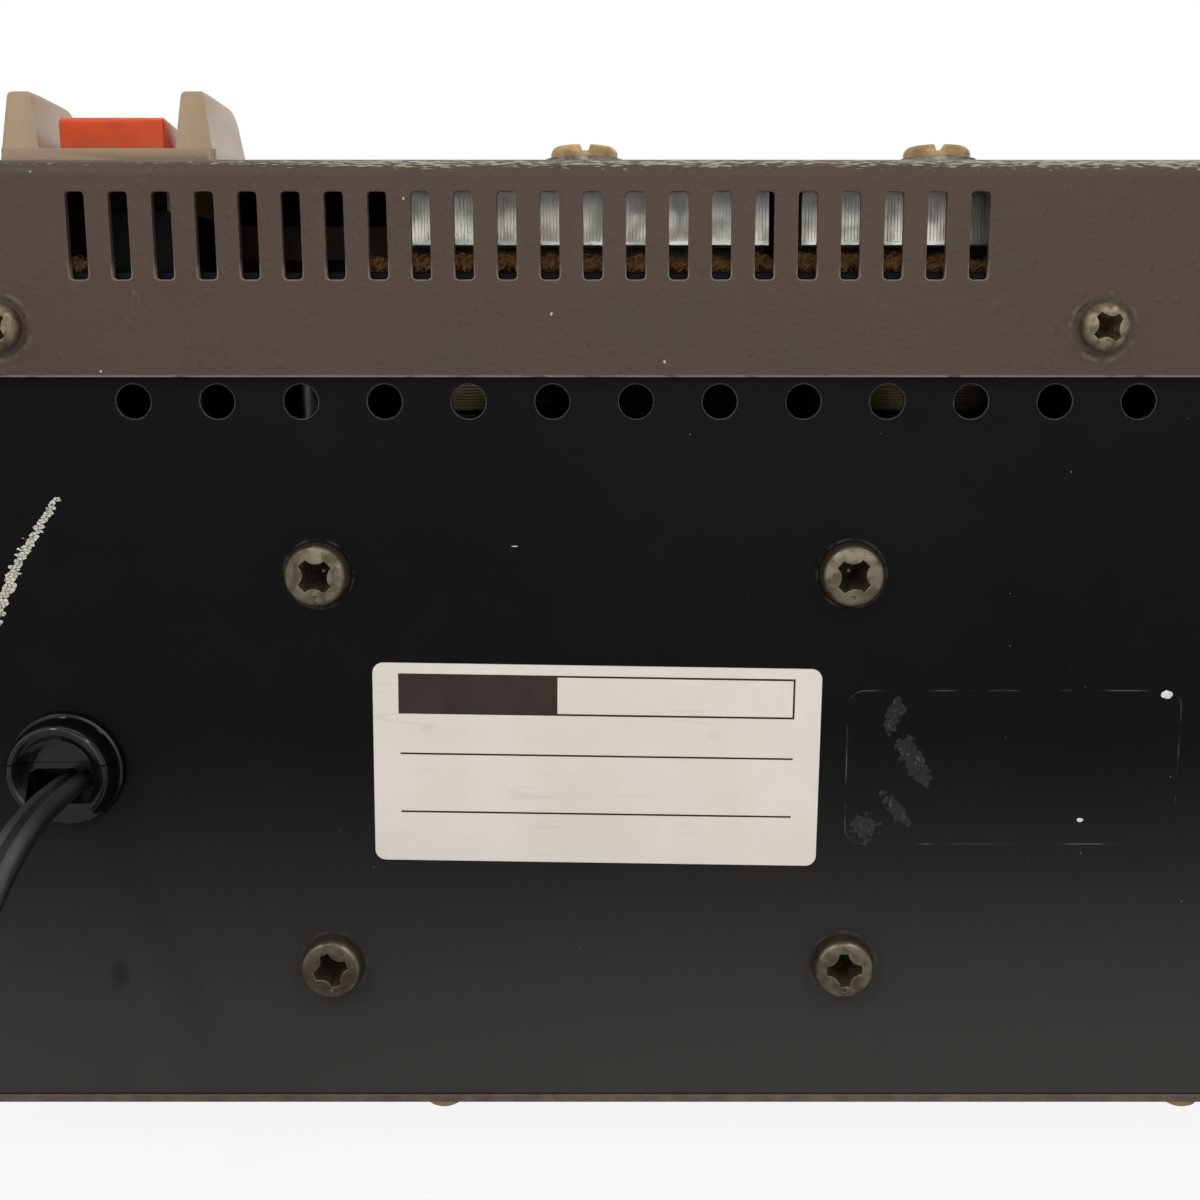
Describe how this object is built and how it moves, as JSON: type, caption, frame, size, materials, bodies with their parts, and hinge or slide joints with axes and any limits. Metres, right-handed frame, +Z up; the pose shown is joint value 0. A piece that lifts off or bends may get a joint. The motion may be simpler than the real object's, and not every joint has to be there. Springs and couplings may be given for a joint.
{
  "type": "cassette duplicator",
  "caption": "Flat desk-top cassette duplicator with a row of open tape wells, guarded rear power switch, vented metal case and a coiled mains lead.",
  "frame": {"origin": "middle of the base, on the surface that the feet stand on", "axes": "+Z up, front towards -Y, rear with the mains lead towards +Y, the user's right side towards +X"},
  "size_m": [0.525, 0.416, 0.1709],
  "materials": {
    "brown_paint": "textured paint",
    "black_paint": "satin paint",
    "brown_moulding": "textured",
    "beige_plastic": "fine texture",
    "guard_plastic": "fine texture",
    "tray_plastic": "textured",
    "orange_plastic": "translucent gloss",
    "key_plastic": "satin",
    "start_plastic": "satin",
    "dial_plastic": "satin",
    "spindle_plastic": "satin",
    "lamp_lens": "gloss",
    "bushing_plastic": "gloss",
    "lead_sheath": "satin",
    "plug_plastic": "satin",
    "blade_metal": "nickel plated",
    "plate_foil": "satin",
    "sheet_steel": "zinc plated",
    "pressed_steel": "zinc plated",
    "turned_steel": "turned",
    "worn_screw": "worn, lightly rusted",
    "dark_bolt": "olive chromate",
    "yellow_screw": "yellow chromate",
    "grey_washer": "zinc plated",
    "bronze": "sintered",
    "flywheel_metal": "turned",
    "cast_aluminium": "turned",
    "sink_aluminium": "extruded",
    "motor_can": "zinc plated",
    "head_metal": "polished",
    "belt_rubber": "matte",
    "roller_rubber": "ground",
    "foot_rubber": "matte",
    "coil_paper": "varnished",
    "board_laminate": "varnished",
    "lamination_steel": "varnished",
    "copper_winding": "enamelled wire",
    "transistor_epoxy": "matte",
    "capacitor_sleeve": "shrunk sleeve",
    "switch_plastic": "satin"
  },
  "bodies": {
    "chassis": {"top_cover": "brown_paint", "rear_panel": "black_paint", "bottom_plate": "brown_paint", "front_panel": "brown_moulding", "deck_panel": "beige_plastic", "cassette_trays": "tray_plastic", "mechanism_plate": "sheet_steel", "support_posts": "turned_steel", "bearing_bushes": "bronze", "capstan_motor": "motor_can", "drive_belts": "belt_rubber", "engage_solenoid": "coil_paper", "control_board": "board_laminate", "indicator_lamps": "lamp_lens", "transformer_core": "lamination_steel", "transformer_winding": "copper_winding", "circuit_board": "board_laminate", "heat_sinks": "sink_aluminium", "power_transistors": "transistor_epoxy", "filter_capacitors": "capacitor_sleeve", "rubber_feet": "foot_rubber", "cover_screws": "worn_screw", "bottom_screws": "yellow_screw", "transformer_bolts": "dark_bolt", "transit_screws": "yellow_screw", "transit_washers": "grey_washer", "switch_guard": "guard_plastic", "switch_body": "switch_plastic", "rating_plate": "plate_foil", "cord_bushing": "bushing_plastic", "power_cord": "lead_sheath", "power_cord_coil": "lead_sheath", "power_plug": "plug_plastic", "plug_blades": "blade_metal"},
    "power_rocker": {"power_rocker": "orange_plastic"},
    "motor_rotor": {"motor_pulley": "cast_aluminium"},
    "head_carriage": {"engage_bar": "pressed_steel", "head_plates": "pressed_steel", "tape_heads": "head_metal"},
    "start_key": {"start_key": "start_plastic"},
    "stop_key": {"stop_key": "key_plastic"},
    "rewind_key": {"rewind_key": "key_plastic"},
    "left_level_dial": {"left_level_dial": "dial_plastic"},
    "right_level_dial": {"right_level_dial": "dial_plastic"},
    "supply_spindle_1": {"supply_spindle_1": "spindle_plastic"},
    "takeup_spindle_1": {"takeup_spindle_1": "spindle_plastic"},
    "capstan_1": {"flywheel_1": "flywheel_metal"},
    "pinch_roller_1": {"pinch_roller_1": "roller_rubber"},
    "supply_spindle_2": {"supply_spindle_2": "spindle_plastic"},
    "takeup_spindle_2": {"takeup_spindle_2": "spindle_plastic"},
    "capstan_2": {"flywheel_2": "flywheel_metal"},
    "pinch_roller_2": {"pinch_roller_2": "roller_rubber"},
    "supply_spindle_3": {"supply_spindle_3": "spindle_plastic"},
    "takeup_spindle_3": {"takeup_spindle_3": "spindle_plastic"},
    "capstan_3": {"flywheel_3": "flywheel_metal"},
    "pinch_roller_3": {"pinch_roller_3": "roller_rubber"},
    "supply_spindle_4": {"supply_spindle_4": "spindle_plastic"},
    "takeup_spindle_4": {"takeup_spindle_4": "spindle_plastic"},
    "capstan_4": {"flywheel_4": "flywheel_metal"},
    "pinch_roller_4": {"pinch_roller_4": "roller_rubber"}
  },
  "joints": [
    {"name": "power_rocker_tilt", "type": "hinge", "parent": "chassis", "child": "power_rocker", "pos_m": [0.2216, 0.12095, 0.1525], "axis": [-1, 0, 0], "range_deg": [0, 14]},
    {"name": "head_carriage_slide", "type": "slide", "parent": "chassis", "child": "head_carriage", "axis": [0, 1, 0], "range_m": [0, 0.008], "stiffness_N_per_m": 400, "springref_m": -0.002},
    {"name": "supply_spindle_1_spin", "type": "hinge", "parent": "chassis", "child": "supply_spindle_1", "pos_m": [-0.19225, 0.006, 0.144], "axis": [0, 0, 1], "continuous": true},
    {"name": "takeup_spindle_1_spin", "type": "hinge", "parent": "chassis", "child": "takeup_spindle_1", "pos_m": [-0.14975, 0.006, 0.144], "axis": [0, 0, 1], "continuous": true},
    {"name": "supply_spindle_2_spin", "type": "hinge", "parent": "chassis", "child": "supply_spindle_2", "pos_m": [-0.07825, 0.006, 0.144], "axis": [0, 0, 1], "continuous": true},
    {"name": "takeup_spindle_2_spin", "type": "hinge", "parent": "chassis", "child": "takeup_spindle_2", "pos_m": [-0.03575, 0.006, 0.144], "axis": [0, 0, 1], "continuous": true},
    {"name": "supply_spindle_3_spin", "type": "hinge", "parent": "chassis", "child": "supply_spindle_3", "pos_m": [0.03575, 0.006, 0.144], "axis": [0, 0, 1], "continuous": true},
    {"name": "takeup_spindle_3_spin", "type": "hinge", "parent": "chassis", "child": "takeup_spindle_3", "pos_m": [0.07825, 0.006, 0.144], "axis": [0, 0, 1], "continuous": true},
    {"name": "supply_spindle_4_spin", "type": "hinge", "parent": "chassis", "child": "supply_spindle_4", "pos_m": [0.14975, 0.006, 0.144], "axis": [0, 0, 1], "continuous": true},
    {"name": "takeup_spindle_4_spin", "type": "hinge", "parent": "chassis", "child": "takeup_spindle_4", "pos_m": [0.19225, 0.006, 0.144], "axis": [0, 0, 1], "continuous": true},
    {"name": "capstan_1_spin", "type": "hinge", "parent": "chassis", "child": "capstan_1", "pos_m": [-0.1505, -0.02, 0.144], "axis": [0, 0, 1], "continuous": true},
    {"name": "capstan_2_spin", "type": "hinge", "parent": "chassis", "child": "capstan_2", "pos_m": [-0.0365, -0.02, 0.144], "axis": [0, 0, 1], "continuous": true},
    {"name": "capstan_3_spin", "type": "hinge", "parent": "chassis", "child": "capstan_3", "pos_m": [0.0775, -0.02, 0.144], "axis": [0, 0, 1], "continuous": true},
    {"name": "capstan_4_spin", "type": "hinge", "parent": "chassis", "child": "capstan_4", "pos_m": [0.1915, -0.02, 0.144], "axis": [0, 0, 1], "continuous": true},
    {"name": "motor_spin", "type": "hinge", "parent": "chassis", "child": "motor_rotor", "pos_m": [-0.1505, 0.07, 0.1], "axis": [0, 0, 1], "continuous": true},
    {"name": "pinch_roller_1_spin", "type": "hinge", "parent": "head_carriage", "child": "pinch_roller_1", "pos_m": [-0.1505, -0.03605, 0.15], "axis": [0, 0, 1], "continuous": true},
    {"name": "pinch_roller_2_spin", "type": "hinge", "parent": "head_carriage", "child": "pinch_roller_2", "pos_m": [-0.0365, -0.03605, 0.15], "axis": [0, 0, 1], "continuous": true},
    {"name": "pinch_roller_3_spin", "type": "hinge", "parent": "head_carriage", "child": "pinch_roller_3", "pos_m": [0.0775, -0.03605, 0.15], "axis": [0, 0, 1], "continuous": true},
    {"name": "pinch_roller_4_spin", "type": "hinge", "parent": "head_carriage", "child": "pinch_roller_4", "pos_m": [0.1915, -0.03605, 0.15], "axis": [0, 0, 1], "continuous": true},
    {"name": "start_key_press", "type": "slide", "parent": "chassis", "child": "start_key", "axis": [0, 0, -1], "range_m": [0, 0.003], "stiffness_N_per_m": 300, "springref_m": -0.002},
    {"name": "stop_key_press", "type": "slide", "parent": "chassis", "child": "stop_key", "axis": [0, 0, -1], "range_m": [0, 0.003], "stiffness_N_per_m": 300, "springref_m": -0.002},
    {"name": "rewind_key_press", "type": "slide", "parent": "chassis", "child": "rewind_key", "axis": [0, 0, -1], "range_m": [0, 0.003], "stiffness_N_per_m": 300, "springref_m": -0.002},
    {"name": "left_level_dial_turn", "type": "hinge", "parent": "chassis", "child": "left_level_dial", "pos_m": [-0.08, -0.092, 0.156], "axis": [0, 0, 1], "range_deg": [-150, 150]},
    {"name": "right_level_dial_turn", "type": "hinge", "parent": "chassis", "child": "right_level_dial", "pos_m": [-0.034, -0.092, 0.156], "axis": [0, 0, 1], "range_deg": [-150, 150]}
  ],
  "couplings": [
    {"joint": "capstan_2_spin", "follows": "capstan_1_spin", "ratio": 1},
    {"joint": "capstan_3_spin", "follows": "capstan_1_spin", "ratio": 1},
    {"joint": "capstan_4_spin", "follows": "capstan_1_spin", "ratio": 1},
    {"joint": "motor_spin", "follows": "capstan_1_spin", "ratio": 1.875}
  ]
}
